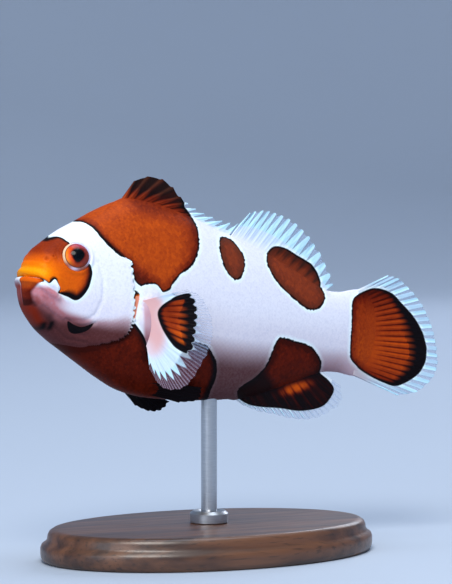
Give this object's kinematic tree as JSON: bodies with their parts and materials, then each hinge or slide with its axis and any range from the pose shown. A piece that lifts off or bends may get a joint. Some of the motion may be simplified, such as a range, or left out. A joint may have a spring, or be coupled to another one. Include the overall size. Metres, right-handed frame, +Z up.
{
  "type": "clownfish, still model on a display stand",
  "caption": "Life-size clownfish with raised fins and its head turned, held over an oval base by one rod.",
  "frame": {"origin": "middle of the underside of the stand's base", "axes": "+Z up; the fish swims towards -X, with its left side towards -Y"},
  "size_m": [0.0883, 0.042, 0.0708],
  "materials": {
    "skin": "white scaled skin with black-edged orange patches, satin",
    "orange_skin": "orange and white scaled skin, black between the two, satin",
    "fin": "thin ribbed fin, orange and black with pale clear margins",
    "eye": "wet eye, orange-red iris round a black pupil",
    "stand_wood": "dark stained wood, satin varnish",
    "stand_metal": "brushed steel"
  },
  "bodies": {
    "root": {"head": "skin", "lower_jaw": "skin", "gill_cover_left": "skin", "gill_cover_right": "skin", "trunk": "orange_skin", "tail_stalk": "skin", "eye_left": "eye", "eye_right": "eye", "dorsal_fin_front": "fin", "dorsal_fin_rear": "fin", "anal_fin": "fin", "tail_fin": "fin", "pectoral_fin_left": "fin", "pectoral_fin_right": "fin", "pelvic_fin_left": "fin", "pelvic_fin_right": "fin", "stand_base": "stand_wood", "stand_rod": "stand_metal", "stand_collar": "stand_metal"}
  },
  "joints": []
}
